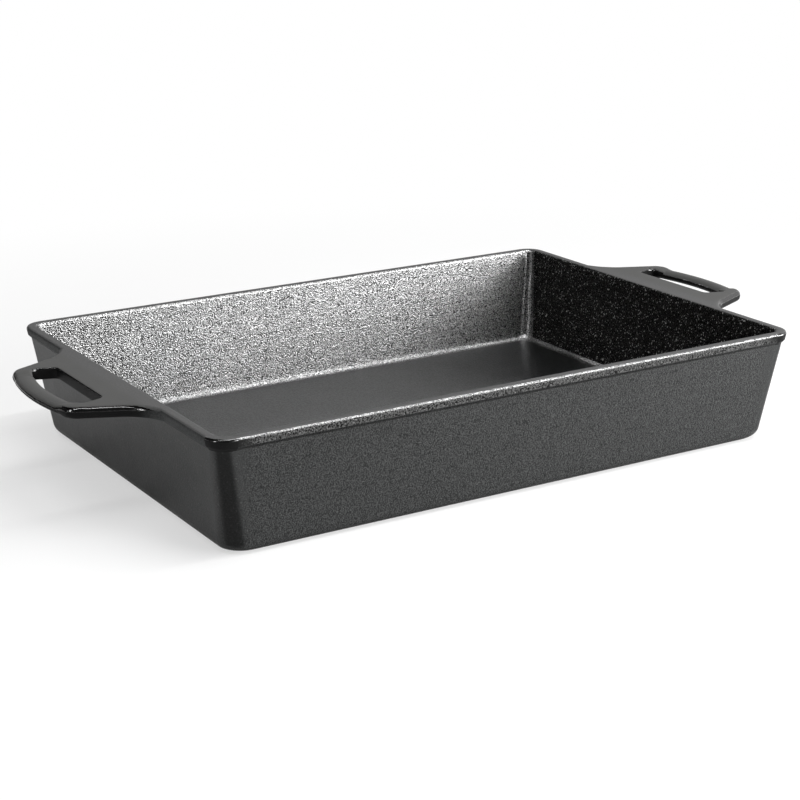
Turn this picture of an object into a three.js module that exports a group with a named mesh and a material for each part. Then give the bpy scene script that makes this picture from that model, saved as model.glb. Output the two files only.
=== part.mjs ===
// Rectangular cast-iron casserole dish with a loop handle at each end.
// Millimetres, +Z up. The origin is the middle of the flat underside, +X runs along the length.
import * as THREE from 'three';

// Driving dimensions of the rim and the basin
const rimLength = 340;
const rimWidth = 241.5;
const dishHeight = 60.2;
const wallDraftAngle = 7.3;
const wallThickness = 4.05;
const rimLand = 5.5;
const rimCornerRadius = 10.7;
const rimEdgeRadius = 1.5;
const mouthCornerRadius = 5.2;
const mouthEdgeRadius = 1.2;
const bandDepth = 6.3;
const bandChamfer = 1.6;
const bandFaceAngle = 10.5;
const baseCornerRadius = 11.5;
const baseEdgeRadius = 6.3;
const floorThickness = 5;
const floorCornerRadius = 7;
const floorFillet = 4;

// Driving dimensions of the handles
const handleWebWidth = 14.7;
const fingerGapDepth = 15.7;
const fingerGapCornerRadius = 3;
const gripWidth = 10.2;
const gripBowRadius = 140;
const gripRakeAngle = 11;
const gripDip = 0.9;
const noseDip = 0.45;
const gripTopFlat = 1;
const gripSideFlat = 0.2;
const gripShoulder = 8;
const armRootHalfSpan = 54;
const armTaperAngle = 24.7;
const armRootWidth = 17.2;
const armEndWidth = 8;
const armFlareRadius = 25;
const armEdgeRadius = 2;
const handleNoseRadius = 8;

// The end regions of the casting reach this far past the corners of the floor
const endRegionMargin = 2.4;

// How finely round stretches are faceted
const cornerSteps = 8;
const edgeSteps = 3;
const filletSteps = 5;

const { lerp, mapLinear, smoothstep, degToRad } = THREE.MathUtils;
const tangent = (degrees) => Math.tan(degToRad(degrees));
const sine = (degrees) => Math.sin(degToRad(degrees));
const cosine = (degrees) => Math.cos(degToRad(degrees));

// Sizes that follow from the driving dimensions
const rimX = rimLength / 2;
const rimY = rimWidth / 2;
const mouthX = rimX - rimLand;
const mouthY = rimY - rimLand;
const bandBottom = dishHeight - bandDepth;
const bandFaceDepth = bandDepth - bandChamfer;
const bandFaceInset = (bandFaceDepth - rimEdgeRadius) * tangent(bandFaceAngle);
const mouthDraftInset = bandDepth * tangent(wallDraftAngle);
const bandOverhang = rimLand + mouthDraftInset - wallThickness;
const gripCrownWidth = (gripWidth - gripTopFlat) / 2;
const gripCrownDepth = (bandDepth - gripDip - gripSideFlat) / 2;
const webEdgeX = rimX + handleWebWidth;
const gripInnerX = webEdgeX + fingerGapDepth;
const gripOuterX = gripInnerX + gripWidth;

// A run of straight stretches joined by arcs. Each corner is [x, y, radius], and an arc that is too
// large for its sides is drawn smaller. A point carries the unit normal on the right of the direction
// of travel, which points out of the metal.
function roundedRun(corners, closed) {
  const count = corners.length;
  const places = corners.map(([x, y]) => new THREE.Vector2(x, y));
  const toNext = places.map((here, index) => places[(index + 1) % count].clone().sub(here));
  const isEnd = (index) => !closed && (index === 0 || index === count - 1);
  const turns = places.map((_, index) => {
    const before = toNext[(index + count - 1) % count];
    return isEnd(index) ? 0 : Math.atan2(before.cross(toNext[index]), before.dot(toNext[index]));
  });
  const setbacks = corners.map(([, , radius], index) => radius * Math.tan(Math.abs(turns[index]) / 2));
  const sharing = toNext.map((side, index) => {
    const wanted = setbacks[index] + setbacks[(index + 1) % count];
    return wanted > side.length() ? side.length() / wanted : 1;
  });
  const points = [];
  corners.forEach(([x, y, radius], index) => {
    const arriving = toNext[(index + count - 1) % count].clone().normalize();
    const leaving = toNext[index].clone().normalize();
    if (isEnd(index)) {
      const along = index === 0 ? leaving : arriving;
      points.push({ x, y, normal: new THREE.Vector2(along.y, -along.x) });
      return;
    }
    const share = Math.min(sharing[index], sharing[(index + count - 1) % count]);
    const bend = Math.sign(turns[index]) * radius * share;
    const centre = places[index].clone().addScaledVector(arriving, -setbacks[index] * share);
    centre.add(new THREE.Vector2(-arriving.y, arriving.x).multiplyScalar(bend));
    for (let step = 0; step <= cornerSteps; step++) {
      const normal = new THREE.Vector2(arriving.y, -arriving.x);
      normal.rotateAround(new THREE.Vector2(), turns[index] * step / cornerSteps);
      points.push({ x: centre.x + normal.x * bend, y: centre.y + normal.y * bend, normal });
    }
  });
  return points;
}

// A closed solid from a stack of levels, lowest first. A level is a list of loops of [x, y, z]:
// the outline, counter-clockwise, and then any holes through the solid, clockwise.
function stackedSolid(levels) {
  const positions = [];
  const indices = [];
  const firstIndex = levels.map((loops) => loops.map((loop) => {
    const first = positions.length / 3;
    positions.push(...loop.flat());
    return first;
  }));
  for (let level = 0; level + 1 < levels.length; level++) {
    levels[level].forEach((loop, which) => {
      const low = firstIndex[level][which];
      const high = firstIndex[level + 1][which];
      loop.forEach((_, here) => {
        const next = (here + 1) % loop.length;
        indices.push(low + here, low + next, high + next);
        indices.push(low + here, high + next, high + here);
      });
    });
  }
  const addCap = (level, facesUp) => {
    const first = firstIndex[level][0];
    const [outline, ...holes] = levels[level].map((loop) => loop.map(([x, y]) => new THREE.Vector2(x, y)));
    THREE.ShapeUtils.triangulateShape(outline, holes).forEach(([a, b, c]) => {
      const face = facesUp ? [a, b, c] : [a, c, b];
      indices.push(...face.map((corner) => first + corner));
    });
  };
  addCap(0, false);
  addCap(levels.length - 1, true);
  const geometry = new THREE.BufferGeometry();
  geometry.setAttribute('position', new THREE.Float32BufferAttribute(positions, 3));
  geometry.setIndex(indices);
  return geometry;
}

// An edge profile lists how far a point is in from the outline and down from the top plane, from the
// bottom of the band up to the top. Every profile has as many levels: a lower half and an upper half.
const halfLevels = edgeSteps + 1;
const halfProfile = (pointAt) => Array.from({ length: halfLevels }, (_, step) => pointAt(step / edgeSteps));

// The upper half is a round that can reach further across than down
function roundedTop(across, down) {
  return halfProfile((share) => ({
    inset: across * (1 - cosine(90 * share)),
    depth: down * (1 - sine(90 * share)),
  }));
}

// The rim's band: a chamfer out of the wall, a drafted face and a rounded top edge
function rimEdgeProfile() {
  const chamfer = halfProfile((share) => ({
    inset: lerp(bandOverhang, bandFaceInset, share),
    depth: lerp(bandDepth, bandFaceDepth, share),
  }));
  return [...chamfer, ...roundedTop(rimEdgeRadius, rimEdgeRadius)];
}

// The mouth: the drafted inside of the basin and a rounded top edge
function mouthEdgeProfile() {
  const top = roundedTop(mouthEdgeRadius, mouthEdgeRadius);
  const wall = halfProfile((share) => {
    const depth = lerp(bandDepth, mouthEdgeRadius, share * edgeSteps / halfLevels);
    return { inset: -depth * tangent(wallDraftAngle), depth };
  });
  return [...wall, ...top];
}

// The handle's edge goes from the rim's band to a plain rounded arm, and between the arms' shoulders to
// the crowned grip. The top of the handle falls a little on its way out from the rim.
function handleEdgeProfile({ x, y }) {
  const betweenArms = 1 - smoothstep(Math.abs(y), gapOuter.y - gripShoulder, gapOuter.y);
  const outward = smoothstep(x, webEdgeX, gripInnerX);
  const across = lerp(armEdgeRadius, gripCrownWidth, outward * betweenArms);
  const down = lerp(armEdgeRadius, gripCrownDepth, outward * betweenArms);
  const dip = outward * lerp(noseDip, gripDip, betweenArms);
  const edge = roundedTop(across, down);
  const lower = edge.map(({ inset, depth }) => ({ inset, depth: bandDepth - depth })).reverse();
  const upper = edge.map(({ inset, depth }) => ({ inset, depth: depth + dip }));
  const outOfRim = smoothstep(x, rimX, webEdgeX);
  const rim = rimEdgeProfile();
  return [...lower, ...upper].map((handle, level) => ({
    inset: lerp(rim[level].inset, handle.inset, outOfRim),
    depth: lerp(rim[level].depth, handle.depth, outOfRim),
  }));
}

// The levels of a solid whose loops are runs with an edge profile at each point
const withProfile = (run, profileOf) => run.map((point) => ({ ...point, profile: profileOf(point) }));
function profiledLevels(runs) {
  const placed = (level) => ({ x, y, normal, profile }) => {
    const { inset, depth } = profile[level];
    return [x - normal.x * inset, y - normal.y * inset, dishHeight - depth];
  };
  return Array.from({ length: 2 * halfLevels }, (_, level) => runs.map((run) => run.map(placed(level))));
}

// How far the outside of the basin is in from the rim's outline at a height, with the round at its base
const baseRoundTop = baseEdgeRadius * (1 - sine(wallDraftAngle));
function outerInset(z) {
  const drafted = (height) => bandOverhang + (bandBottom - height) * tangent(wallDraftAngle);
  if (z >= baseRoundTop) {
    return drafted(z);
  }
  const centreInset = drafted(baseEdgeRadius) + baseEdgeRadius / cosine(wallDraftAngle);
  return centreInset - Math.sqrt(baseEdgeRadius ** 2 - (baseEdgeRadius - z) ** 2);
}

// The same for the inside, from the mouth's outline, with the fillet along the floor
function innerInset(z) {
  const drafted = (height) => (dishHeight - height) * tangent(wallDraftAngle);
  const centreHeight = floorThickness + floorFillet;
  if (z >= centreHeight - floorFillet * sine(wallDraftAngle)) {
    return drafted(z);
  }
  const centreInset = drafted(centreHeight) + floorFillet / cosine(wallDraftAngle);
  return centreInset - Math.sqrt(Math.max(0, floorFillet ** 2 - (centreHeight - z) ** 2));
}

// Corner radii change evenly from the band down to the base and the floor
const cornerRadiusAt = (z, top, bottom) => mapLinear(z, bandBottom, 0, top, bottom);
function outsideAt(z) {
  const radius = cornerRadiusAt(z, rimCornerRadius - bandOverhang, baseCornerRadius);
  return { x: rimX - outerInset(z), y: rimY - outerInset(z), radius };
}
function insideAt(z) {
  const radius = cornerRadiusAt(z, mouthCornerRadius - mouthDraftInset, floorCornerRadius);
  return { x: mouthX - innerInset(z), y: mouthY - innerInset(z), radius };
}

// The planes that part the end regions from the straight sides clear every corner of the walls
const cornerStart = ({ x, radius }) => x - radius;
const floorCornerStarts = [insideAt(floorThickness), outsideAt(floorThickness)].map(cornerStart);
const endCutX = Math.min(...floorCornerStarts) - endRegionMargin;

// The handle on the side of positive x: its arms taper from the rim towards the grip, which bows
// outwards between two rounded noses
const gripBowOffset = gripBowRadius * (1 / cosine(gripRakeAngle) - 1);
function gripCorner(bowX, halfSpanAtRim) {
  const taper = tangent(armTaperAngle);
  const rake = tangent(gripRakeAngle);
  const y = (halfSpanAtRim - (bowX - rimX) * taper) / (1 - taper * rake);
  return { x: bowX - y * rake, y };
}
const outerBowX = gripOuterX + gripBowOffset;
const nose = gripCorner(outerBowX, armRootHalfSpan);
const handleCorners = [
  [rimX, -armRootHalfSpan, armFlareRadius],
  [nose.x, -nose.y, handleNoseRadius],
  [outerBowX, 0, gripBowRadius],
  [nose.x, nose.y, handleNoseRadius],
  [rimX, armRootHalfSpan, armFlareRadius],
];

// The finger gap between the web along the rim, the two arms and the grip
const innerBowX = gripInnerX + gripBowOffset;
const gapOuter = gripCorner(innerBowX, armRootHalfSpan - armEndWidth);
const gapRootY = armRootHalfSpan - handleWebWidth * tangent(armTaperAngle) - armRootWidth;
const fingerGapCorners = [
  [webEdgeX, -gapRootY, fingerGapCornerRadius],
  [webEdgeX, gapRootY, fingerGapCornerRadius],
  [gapOuter.x, gapOuter.y, fingerGapCornerRadius],
  [innerBowX, 0, gripBowRadius],
  [gapOuter.x, -gapOuter.y, fingerGapCornerRadius],
];

// One end of the rim with its loop handle
function handleEnd() {
  const outline = roundedRun([
    [endCutX, -rimY, 0],
    [rimX, -rimY, rimCornerRadius],
    ...handleCorners,
    [rimX, rimY, rimCornerRadius],
    [endCutX, rimY, 0],
  ], false);
  const mouth = roundedRun([
    [endCutX, mouthY, 0],
    [mouthX, mouthY, mouthCornerRadius],
    [mouthX, -mouthY, mouthCornerRadius],
    [endCutX, -mouthY, 0],
  ], false);
  const edge = withProfile(outline, handleEdgeProfile);
  const lip = withProfile(mouth, mouthEdgeProfile);
  const fingerGap = withProfile(roundedRun(fingerGapCorners, true), handleEdgeProfile);
  return stackedSolid(profiledLevels([[...edge, ...lip], fingerGap]));
}

// The straight rim along the front
function sideRim() {
  const outline = roundedRun([[-endCutX, -rimY, 0], [endCutX, -rimY, 0]], false);
  const mouth = roundedRun([[endCutX, -mouthY, 0], [-endCutX, -mouthY, 0]], false);
  const edge = withProfile(outline, rimEdgeProfile);
  const lip = withProfile(mouth, mouthEdgeProfile);
  return stackedSolid(profiledLevels([[...edge, ...lip]]));
}

// Heights of the walls' levels: the steps of the floor's fillet, the top of the base's round, the band
function wallHeights() {
  const heights = [Math.max(baseRoundTop, floorThickness), bandBottom];
  for (let step = 0; step <= filletSteps; step++) {
    const angle = lerp(90, wallDraftAngle, step / filletSteps);
    heights.push(floorThickness + floorFillet * (1 - sine(angle)));
  }
  return [...new Set(heights)].sort((low, high) => low - high);
}

const atHeight = (run, z) => run.map(({ x, y }) => [x, y, z]);

// The wall at one end, with both corners
function endWall() {
  return stackedSolid(wallHeights().map((z) => {
    const outside = outsideAt(z);
    const inside = insideAt(z);
    const outerRun = roundedRun([
      [endCutX, -outside.y, 0],
      [outside.x, -outside.y, outside.radius],
      [outside.x, outside.y, outside.radius],
      [endCutX, outside.y, 0],
    ], false);
    const innerRun = roundedRun([
      [endCutX, inside.y, 0],
      [inside.x, inside.y, inside.radius],
      [inside.x, -inside.y, inside.radius],
      [endCutX, -inside.y, 0],
    ], false);
    return [atHeight([...outerRun, ...innerRun], z)];
  }));
}

// The straight wall along the front
function sideWall() {
  return stackedSolid(wallHeights().map((z) => {
    const outerY = outsideAt(z).y;
    const innerY = insideAt(z).y;
    return [[[-endCutX, -outerY, z], [endCutX, -outerY, z], [endCutX, -innerY, z], [-endCutX, -innerY, z]]];
  }));
}

// The flat floor, with the round along the edge of its underside
function floorPlate() {
  const shares = Array.from({ length: filletSteps + 1 }, (_, step) => step / filletSteps);
  return stackedSolid(shares.map((share) => {
    const z = floorThickness * share ** 2;
    const { x, y, radius } = outsideAt(z);
    const corners = [[-x, -y, radius], [x, -y, radius], [x, y, radius], [-x, y, radius]];
    return [atHeight(roundedRun(corners, true), z)];
  }));
}

// A half turn about the vertical gives the region on the opposite side
const opposite = (geometry) => geometry.rotateZ(Math.PI);

function region(name, geometry) {
  const castIron = new THREE.MeshStandardMaterial({ color: 0x2f3031, roughness: 0.5, metalness: 0.6 });
  const mesh = new THREE.Mesh(geometry, castIron);
  mesh.name = name;
  return mesh;
}

const dish = new THREE.Group();
dish.name = 'casserole_dish';
dish.add(
  region('floor_plate', floorPlate()),
  region('front_wall', sideWall()),
  region('rear_wall', opposite(sideWall())),
  region('left_wall', opposite(endWall())),
  region('right_wall', endWall()),
  region('front_rim', sideRim()),
  region('rear_rim', opposite(sideRim())),
  region('left_handle', opposite(handleEnd())),
  region('right_handle', handleEnd()),
);

export default dish;
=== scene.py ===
# %% [markdown]
# # A seasoned cast-iron casserole dish
# The real dish is one sand casting: iron poured into a mould, knocked out, tumbled, and baked with oil until
# it is black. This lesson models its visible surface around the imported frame, in metres and in its place.
# It goes from the basin to the rim and the handles, then to the finishes, the light and the camera.

# %% Load the frame
import math

import bmesh
import bpy
from mathutils import Matrix, Vector


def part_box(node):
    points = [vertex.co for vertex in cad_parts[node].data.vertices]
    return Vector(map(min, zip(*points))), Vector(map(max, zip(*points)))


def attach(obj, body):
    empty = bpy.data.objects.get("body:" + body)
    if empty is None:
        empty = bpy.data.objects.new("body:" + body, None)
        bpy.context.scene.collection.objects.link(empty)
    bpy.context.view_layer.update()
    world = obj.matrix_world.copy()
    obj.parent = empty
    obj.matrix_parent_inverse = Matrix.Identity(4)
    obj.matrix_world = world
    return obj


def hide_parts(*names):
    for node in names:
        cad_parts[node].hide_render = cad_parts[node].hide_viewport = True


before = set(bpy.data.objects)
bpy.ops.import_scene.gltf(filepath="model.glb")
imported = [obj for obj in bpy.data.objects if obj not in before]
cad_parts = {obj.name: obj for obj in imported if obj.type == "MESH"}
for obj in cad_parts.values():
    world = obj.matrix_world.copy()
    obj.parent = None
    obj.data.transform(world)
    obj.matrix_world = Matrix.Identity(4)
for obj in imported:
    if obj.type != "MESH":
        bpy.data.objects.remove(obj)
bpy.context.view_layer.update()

# %% [markdown]
# ## The sizes of the casting
# Every outline of the dish is a rectangle with round corners, so a half length, a half width and a corner
# radius describe it at any height. The walls lean outwards by a few degrees, so that the pattern can be drawn
# out of the sand. We could type the outlines level by level, but two small functions that give them for any
# height keep the draft, the round at the base and the fillet at the floor in one place.

# %% Sizes and outlines
MM = 0.001
RIM_X, RIM_Y = 170 * MM, 120.75 * MM
DISH_HEIGHT = 60.2 * MM
WALL_DRAFT = math.radians(7.3)
WALL_THICKNESS = 4.05 * MM
RIM_LAND = 5.5 * MM
RIM_CORNER = 10.7 * MM
MOUTH_CORNER = 5.2 * MM
BAND_DEPTH = 6.3 * MM
BASE_CORNER, BASE_ROUND = 11.5 * MM, 6.3 * MM
FLOOR_TOP = 5 * MM
FLOOR_CORNER, FLOOR_FILLET = 7 * MM, 4 * MM

BAND_BOTTOM = DISH_HEIGHT - BAND_DEPTH
MOUTH_X, MOUTH_Y = RIM_X - RIM_LAND, RIM_Y - RIM_LAND
MOUTH_INSET = BAND_DEPTH * math.tan(WALL_DRAFT)
BAND_OVERHANG = RIM_LAND + MOUTH_INSET - WALL_THICKNESS


def with_round(drafted, z, foot, radius):
    """The inset of a drafted wall at a height, with a round of that radius at its foot."""
    if z >= foot + radius * (1 - math.sin(WALL_DRAFT)):
        return drafted(z)
    centre = drafted(foot + radius) + radius / math.cos(WALL_DRAFT)
    return centre - math.sqrt(max(0, radius**2 - (foot + radius - z) ** 2))


def corner_at(z, at_band, at_base):
    """The corner radius at a height, which changes evenly from the base to the band."""
    return at_base + (at_band - at_base) * z / BAND_BOTTOM


def outside(z):
    """Half length, half width, height and corner radius of the basin's outside."""
    inset = with_round(lambda h: BAND_OVERHANG + (BAND_BOTTOM - h) * math.tan(WALL_DRAFT), z, 0, BASE_ROUND)
    return RIM_X - inset, RIM_Y - inset, z, corner_at(z, RIM_CORNER - BAND_OVERHANG, BASE_CORNER)


def inside(z):
    """The same for the inside of the basin."""
    inset = with_round(lambda h: (DISH_HEIGHT - h) * math.tan(WALL_DRAFT), z, FLOOR_TOP, FLOOR_FILLET)
    return MOUTH_X - inset, MOUTH_Y - inset, z, corner_at(z, MOUTH_CORNER - MOUTH_INSET, FLOOR_CORNER)


print("outside at the band", outside(BAND_BOTTOM), "inside at the floor", inside(FLOOR_TOP))

# %% [markdown]
# ## Working by hand, in code
# The operators act on what is selected, as they do in the window. So each helper first selects one object,
# or the edges that a short test picks by their place, and then runs the operators that a modeller would use.

# %% Selection helpers
NEAR = 0.001 * MM


def only(piece):
    """Selects one object alone and makes it the active one."""
    bpy.ops.object.select_all(action="DESELECT")
    piece.select_set(True)
    bpy.context.view_layer.objects.active = piece


def select_edges(piece, wanted):
    """In edit mode, selects the edges for which wanted(edge, one end, other end) is true."""
    bpy.ops.mesh.select_mode(type="EDGE")
    bpy.ops.mesh.select_all(action="DESELECT")
    skin = bmesh.from_edit_mesh(piece.data)
    for edge in skin.edges:
        if wanted(edge, edge.verts[0].co, edge.verts[1].co):
            edge.select_set(True)
    bmesh.update_edit_mesh(piece.data)


def level_with(z):
    """A test for edges that lie at one height."""
    return lambda edge, a, b: abs(a.z - z) < NEAR and abs(b.z - z) < NEAR


def joined(name, pieces):
    """Joins the pieces into the first one and names it."""
    bpy.ops.object.select_all(action="DESELECT")
    for piece in pieces:
        piece.select_set(True)
    bpy.context.view_layer.objects.active = pieces[0]
    bpy.ops.object.join()
    bpy.context.object.name = name
    return bpy.context.object


def copy_of(piece, name):
    """A copy with a mesh of its own."""
    only(piece)
    bpy.ops.object.duplicate()
    bpy.context.object.name = name
    return bpy.context.object


print("two places count as one within", NEAR / MM, "mm")

# %% [markdown]
# ## Lofting a skin from outlines
# A drafted wall whose corners change radius is a loft: one outline per level, each bridged to the next. An
# extrusion that is scaled would be quicker, but it would scale the corner radii along with the sides. So each
# level starts as a plane of its own size, its four corners are bevelled to their own radius, its face is
# deleted, and Bridge Edge Loops lays the wall between neighbours.

# %% Outlines and lofts
CORNER_STEPS = 16


def outline(half_x, half_y, z, radius):
    """A rectangle with round corners, as a loop of edges without a face."""
    bpy.ops.object.select_all(action="DESELECT")
    bpy.ops.mesh.primitive_plane_add(size=2, location=(0, 0, z))
    bpy.ops.transform.resize(value=(half_x, half_y, 1))
    bpy.ops.object.transform_apply()
    bpy.ops.object.mode_set(mode="EDIT")
    bpy.ops.mesh.select_mode(type="VERT")
    bpy.ops.mesh.select_all(action="SELECT")
    bpy.ops.mesh.bevel(offset=radius, segments=CORNER_STEPS, affect="VERTICES", clamp_overlap=False)
    bpy.ops.mesh.delete(type="ONLY_FACE")
    bpy.ops.object.mode_set(mode="OBJECT")
    return bpy.context.object


def loft(name, levels, faces_in=False):
    """A skin through outlines, lowest first. Its faces point away from the middle, or towards it."""
    skin = joined(name, [outline(*level) for level in levels])
    bpy.ops.object.mode_set(mode="EDIT")
    heights = [level[2] for level in levels]
    for low, high in zip(heights, heights[1:]):
        at_low, at_high = level_with(low), level_with(high)
        select_edges(skin, lambda edge, a, b: at_low(edge, a, b) or at_high(edge, a, b))
        bpy.ops.mesh.bridge_edge_loops()
    bpy.ops.mesh.select_all(action="SELECT")
    bpy.ops.mesh.normals_make_consistent(inside=faces_in)
    faces = bmesh.from_edit_mesh(skin.data).faces
    outward = sum(face.normal.xy.dot(face.calc_center_median().xy) * face.calc_area() for face in faces)
    if (outward < 0) != faces_in:
        bpy.ops.mesh.flip_normals()
    bpy.ops.object.mode_set(mode="OBJECT")
    return skin


def close_ring(piece, heights):
    """Bridges the open outer and inner loops of a joined ring at each of these heights."""
    bpy.ops.object.mode_set(mode="EDIT")
    for z in heights:
        at_z = level_with(z)
        select_edges(piece, lambda edge, a, b: edge.is_boundary and at_z(edge, a, b))
        bpy.ops.mesh.bridge_edge_loops()
    bpy.ops.object.mode_set(mode="OBJECT")


def eased(low, high, steps):
    """Heights that lie closer together near the low end, as the steps of a round do."""
    return [low + (high - low) * (step / steps) ** 2 for step in range(steps + 1)]


print("a corner has", CORNER_STEPS, "steps")

# %% [markdown]
# ## The floor plate
# The floor is a flat plate with a large round along the edge of its underside. A bevelled cube would be
# quicker, but its corners would keep one radius, while these get smaller upwards. So it is the lowest stretch
# of the outside, closed by one face above and one below. Both faces are inset a little, so that the smooth
# shading of the round doesn't run out across the flat.

# %% Model the floor plate
BASE_STEPS = 10
FLAT_MARGIN = 0.6 * MM

floor_plate = loft("dish_floor", [outside(z) for z in eased(0, FLOOR_TOP, BASE_STEPS)])
bpy.ops.object.mode_set(mode="EDIT")
for z in (0, FLOOR_TOP):
    select_edges(floor_plate, level_with(z))
    bpy.ops.mesh.edge_face_add()
    bpy.ops.mesh.inset(thickness=FLAT_MARGIN)
bpy.ops.mesh.select_all(action="SELECT")
bpy.ops.mesh.normals_make_consistent(inside=False)
bpy.ops.object.mode_set(mode="OBJECT")
print("floor plate", len(floor_plate.data.polygons), "faces")

# %% [markdown]
# ## The walls as one ring
# The inside and the outside of the four walls are two lofts, bridged above and below into one closed ring.
# The sand leaves a pebbled skin on them, and real pebbles need a fine mesh to stand on. So Subdivide splits
# the long edges into a grid of less than a millimetre before the ring is closed.

# %% Model the ring of walls
WALL_TOP = BAND_BOTTOM - 2.4 * MM
FILLET_STEPS = 8
GRID = 0.6 * MM
BASE_ROUND_TOP = BASE_ROUND * (1 - math.sin(WALL_DRAFT))
FILLET_TOP = FLOOR_TOP + FLOOR_FILLET * (1 - math.sin(WALL_DRAFT))
STRAIGHT = 1.02


def subdivide_to(skin, axis, shortest, spacing):
    """Splits the edges along an axis that are longer than shortest into pieces of about one spacing.

    An edge runs along the axis while it is hardly longer than its stretch along it. One Subdivide makes at
    most 100 cuts, so the work is done in two rounds.
    """
    def runs_along(edge, a, b):
        stretch = abs(a[axis] - b[axis])
        return stretch > shortest and edge.calc_length() < STRAIGHT * stretch

    bpy.ops.object.mode_set(mode="EDIT")
    for rounds_left in (1, 0):
        select_edges(skin, runs_along)
        longest = max(edge.calc_length() for edge in bmesh.from_edit_mesh(skin.data).edges if edge.select)
        parts = math.ceil(longest / spacing)
        if rounds_left:
            parts = math.ceil(math.sqrt(parts))
            shortest /= parts
        bpy.ops.mesh.subdivide(number_cuts=parts - 1)
    bpy.ops.object.mode_set(mode="OBJECT")


def wall_skin(name, levels, faces_in=False):
    """One side of the walls, lofted and split into a fine grid along each of the three axes."""
    skin = loft(name, levels, faces_in)
    for axis, shortest in enumerate((RIM_X, RIM_Y, (WALL_TOP - FLOOR_TOP) / 2)):
        subdivide_to(skin, axis, shortest, GRID)
    return skin


outer_skin = wall_skin("outer_skin", [outside(z) for z in (FLOOR_TOP, BASE_ROUND_TOP, WALL_TOP)])
inner_heights = [*eased(FLOOR_TOP, FILLET_TOP, FILLET_STEPS), WALL_TOP]
inner_skin = wall_skin("inner_skin", [inside(z) for z in inner_heights], faces_in=True)
wall_ring = joined("wall_ring", [outer_skin, inner_skin])
close_ring(wall_ring, (FLOOR_TOP, WALL_TOP))
print("ring of walls", len(wall_ring.data.polygons), "faces")

# %% [markdown]
# ## The rim
# A thicker band runs round the top of the walls. It leaves the wall by a short chamfer, rises with a slight
# draft, and is rounded over to the flat top. A profile swept round a path would do for the straight sides, but
# its corners would all be turned about one centre. So it is another ring of outlines. It reaches a little down
# the wall, so that the later cut between rim and wall is clean.

# %% Model the rim as a ring
BAND_CHAMFER = 1.6 * MM
BAND_FACE_DRAFT = math.radians(10.5)
RIM_EDGE, MOUTH_EDGE = 1.5 * MM, 1.2 * MM
EDGE_STEPS = 5
RIM_FOOT = BAND_BOTTOM - 6 * MM

band_face_inset = (BAND_DEPTH - BAND_CHAMFER - RIM_EDGE) * math.tan(BAND_FACE_DRAFT)


def rim_outline(inset, z):
    return RIM_X - inset, RIM_Y - inset, z, RIM_CORNER - inset


def mouth_outline(inset, z):
    return MOUTH_X + inset, MOUTH_Y + inset, z, MOUTH_CORNER + inset


def edge_round(radius):
    """The inset and the drop below the top at each step of a rounded edge, from the side to the top."""
    turns = [math.pi / 2 * step / EDGE_STEPS for step in range(EDGE_STEPS + 1)]
    return [(radius * (1 - math.cos(turn)), radius * (1 - math.sin(turn))) for turn in turns]


rim_outer = loft("rim_outer", [
    outside(RIM_FOOT),
    outside(BAND_BOTTOM),
    rim_outline(band_face_inset, BAND_BOTTOM + BAND_CHAMFER),
    *[rim_outline(inset, DISH_HEIGHT - drop) for inset, drop in edge_round(RIM_EDGE)],
])
rim_inner = loft("rim_inner", [
    inside(RIM_FOOT),
    *[mouth_outline(inset - drop * math.tan(WALL_DRAFT), DISH_HEIGHT - drop)
      for inset, drop in edge_round(MOUTH_EDGE)],
], faces_in=True)
rim_ring = joined("rim_ring", [rim_outer, rim_inner])
close_ring(rim_ring, (RIM_FOOT, DISH_HEIGHT))
print("rim", len(rim_ring.data.polygons), "faces")

# %% [markdown]
# ## The handles: web and arms
# Each handle is a loop that grows out of the rim: a web along the rim, two tapering arms and a bowed grip
# between them, round a gap for the fingers. The web and the arms lie flat, so they start as one drawn
# outline: a point extruded from corner to corner, closed by a face, its corners bevelled, and extruded to a
# plate. The edges stay sharp for now, because the softness of the casting comes later and rounds them all.

# %% Draw an outline from corner to corner
def draw_plate(name, corners, top, depth):
    """A plate from a list of (x, y, radius), drawn point by point, rounded there and extruded down."""
    places = [Vector((x, y, top)) for x, y, _ in corners]
    bpy.ops.object.select_all(action="DESELECT")
    bpy.ops.mesh.primitive_plane_add(size=MM, location=places[0])
    bpy.ops.object.transform_apply()
    bpy.ops.object.mode_set(mode="EDIT")
    bpy.ops.mesh.select_mode(type="VERT")
    bpy.ops.mesh.select_all(action="SELECT")
    bpy.ops.mesh.merge(type="CENTER")
    for here, there in zip(places, places[1:]):
        bpy.ops.mesh.extrude_vertices_move(TRANSFORM_OT_translate={"value": there - here})
    bpy.ops.mesh.select_all(action="SELECT")
    bpy.ops.mesh.edge_face_add()
    plate = bpy.context.object
    plate.name = name
    for index, (_, _, radius) in enumerate(corners):
        if radius == 0:
            continue
        before = places[index] - places[index - 1]
        after = places[(index + 1) % len(places)] - places[index]
        bpy.ops.mesh.select_all(action="DESELECT")
        skin = bmesh.from_edit_mesh(plate.data)
        for vert in skin.verts:
            vert.select_set((vert.co - places[index]).length < NEAR)
        bmesh.update_edit_mesh(plate.data)
        setback = radius * math.tan(before.angle(after) / 2)
        bpy.ops.mesh.bevel(offset=setback, segments=CORNER_STEPS, affect="VERTICES", clamp_overlap=False)
    bpy.ops.mesh.select_all(action="SELECT")
    bpy.ops.mesh.extrude_region_move(TRANSFORM_OT_translate={"value": (0, 0, -depth)})
    bpy.ops.mesh.select_all(action="SELECT")
    bpy.ops.mesh.normals_make_consistent(inside=False)
    bpy.ops.object.mode_set(mode="OBJECT")
    return plate


print("each rounded corner gets", CORNER_STEPS, "steps")

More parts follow.
